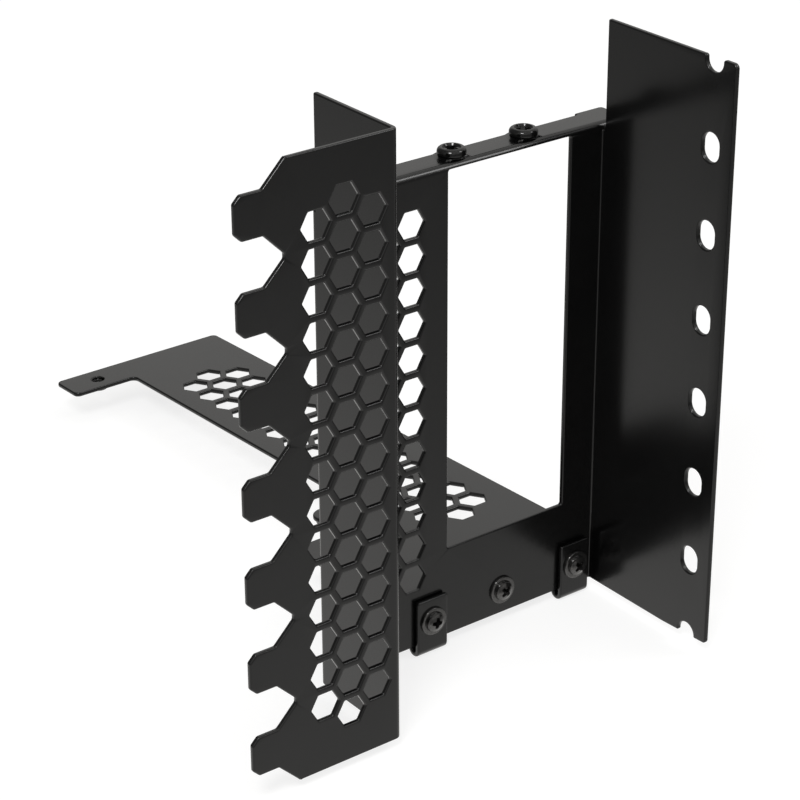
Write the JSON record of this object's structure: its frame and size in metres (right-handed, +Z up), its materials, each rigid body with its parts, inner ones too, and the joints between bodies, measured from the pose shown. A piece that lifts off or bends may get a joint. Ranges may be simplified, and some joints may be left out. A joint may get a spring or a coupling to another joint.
{
  "type": "vertical card bracket",
  "caption": "Folded sheet steel bracket that holds an expansion card upright: a rear frame with slot tongues, a window and a drilled flange, and a perforated riser shelf behind it.",
  "frame": {"origin": "middle of the line of oblong holes in the right flange, on the flange's outer face", "axes": "+X to the right along the plates and out of the flange, +Y into the case behind the plates, +Z up"},
  "size_m": [0.1254, 0.2054, 0.1448],
  "materials": {
    "frame_coat": "satin black powder coat",
    "shelf_coat": "satin black powder coat",
    "screw_black": "glossy black zinc"
  },
  "bodies": {
    "root": {"rear_frame": "frame_coat", "riser_shelf": "shelf_coat", "card_screw_left": "screw_black", "card_screw_right": "screw_black", "shelf_screw_left": "screw_black", "shelf_screw_middle": "screw_black", "shelf_screw_right": "screw_black"}
  },
  "joints": []
}
